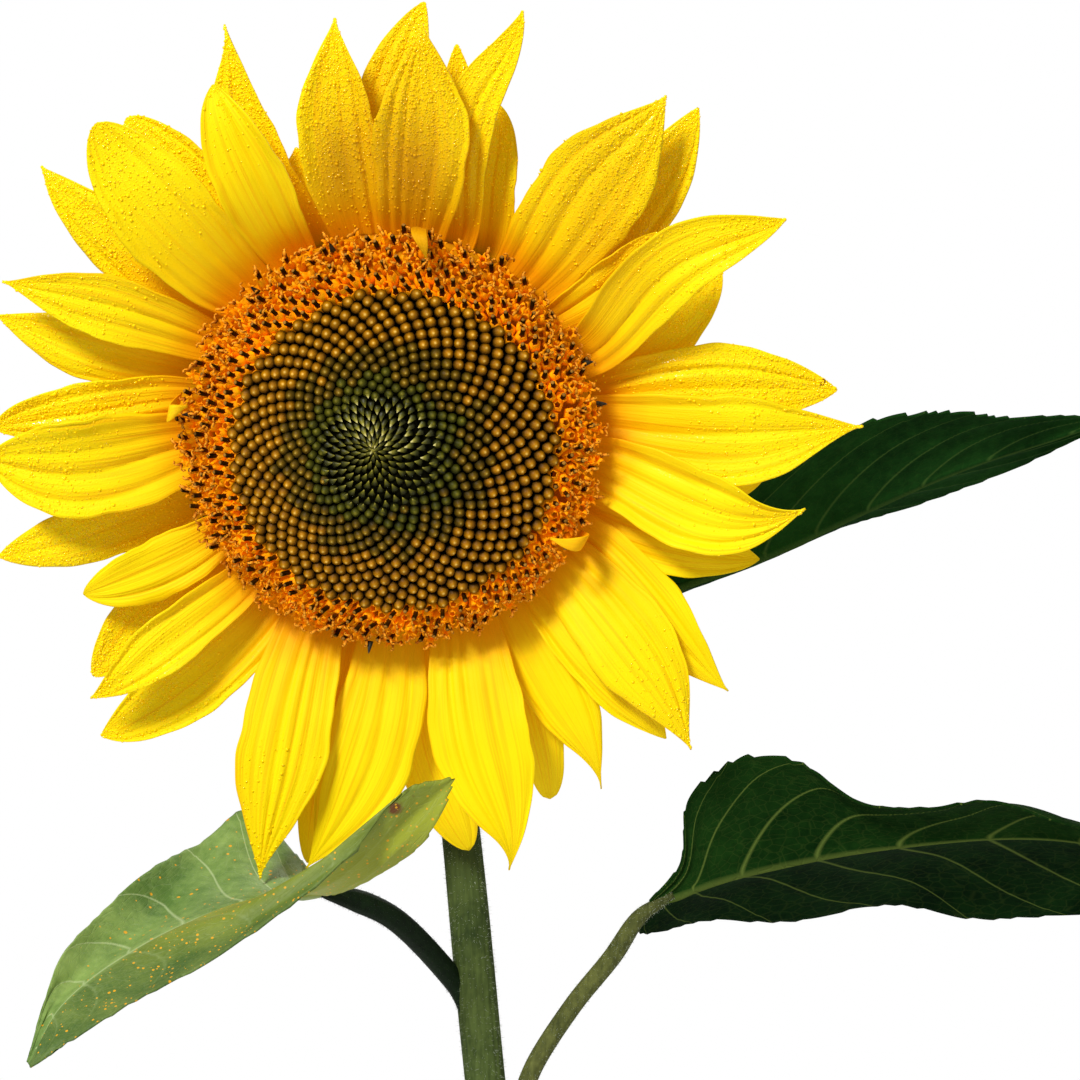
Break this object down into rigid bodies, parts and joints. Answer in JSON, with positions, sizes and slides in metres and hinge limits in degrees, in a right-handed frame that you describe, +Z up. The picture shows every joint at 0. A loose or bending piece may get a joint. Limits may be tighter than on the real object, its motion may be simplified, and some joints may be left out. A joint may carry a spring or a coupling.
{
  "type": "sunflower plant",
  "caption": "Dwarf sunflower in bloom: one nodding yellow flower head on a leaning hairy green stem with stalked leaves.",
  "frame": {"origin": "middle of the flat cut under the stem, at ground level", "axes": "+Z up, the flower head faces -Y and nods a little, +X to the right as seen from the front"},
  "size_m": [0.2425, 0.0989, 0.2954],
  "materials": {
    "stem": "satin",
    "petiole": "satin",
    "leaf_blade": "matte",
    "receptacle": "matte",
    "bract": "matte",
    "disc_buds": "matte",
    "disc_florets": "matte",
    "ray_floret": "satin"
  },
  "bodies": {
    "root": {"stem": "stem", "left_petiole": "petiole", "right_petiole": "petiole", "back_petiole": "petiole", "left_leaf": "leaf_blade", "right_leaf": "leaf_blade", "back_leaf": "leaf_blade", "receptacle": "receptacle", "bracts_outer": "bract", "bracts_inner": "bract", "disc_centre": "disc_buds", "disc_buds": "disc_buds", "disc_open_florets": "disc_florets", "ray_floret_01": "ray_floret", "ray_floret_02": "ray_floret", "ray_floret_03": "ray_floret", "ray_floret_04": "ray_floret", "ray_floret_05": "ray_floret", "ray_floret_06": "ray_floret", "ray_floret_07": "ray_floret", "ray_floret_08": "ray_floret", "ray_floret_09": "ray_floret", "ray_floret_10": "ray_floret", "ray_floret_11": "ray_floret", "ray_floret_12": "ray_floret", "ray_floret_13": "ray_floret", "ray_floret_14": "ray_floret", "ray_floret_15": "ray_floret", "ray_floret_16": "ray_floret", "ray_floret_17": "ray_floret", "ray_floret_18": "ray_floret", "ray_floret_19": "ray_floret", "ray_floret_20": "ray_floret", "ray_floret_21": "ray_floret", "ray_floret_22": "ray_floret", "ray_floret_23": "ray_floret", "ray_floret_24": "ray_floret", "ray_floret_25": "ray_floret", "ray_floret_26": "ray_floret", "ray_floret_27": "ray_floret", "ray_floret_28": "ray_floret", "ray_floret_29": "ray_floret", "ray_floret_30": "ray_floret", "ray_floret_31": "ray_floret", "ray_floret_32": "ray_floret", "ray_floret_33": "ray_floret", "ray_floret_34": "ray_floret", "ray_floret_35": "ray_floret", "ray_floret_36": "ray_floret", "ray_floret_37": "ray_floret", "ray_floret_38": "ray_floret", "ray_floret_39": "ray_floret", "ray_floret_40": "ray_floret", "ray_floret_41": "ray_floret", "stunted_floret_1": "ray_floret", "stunted_floret_2": "ray_floret", "stunted_floret_3": "ray_floret"}
  },
  "joints": []
}
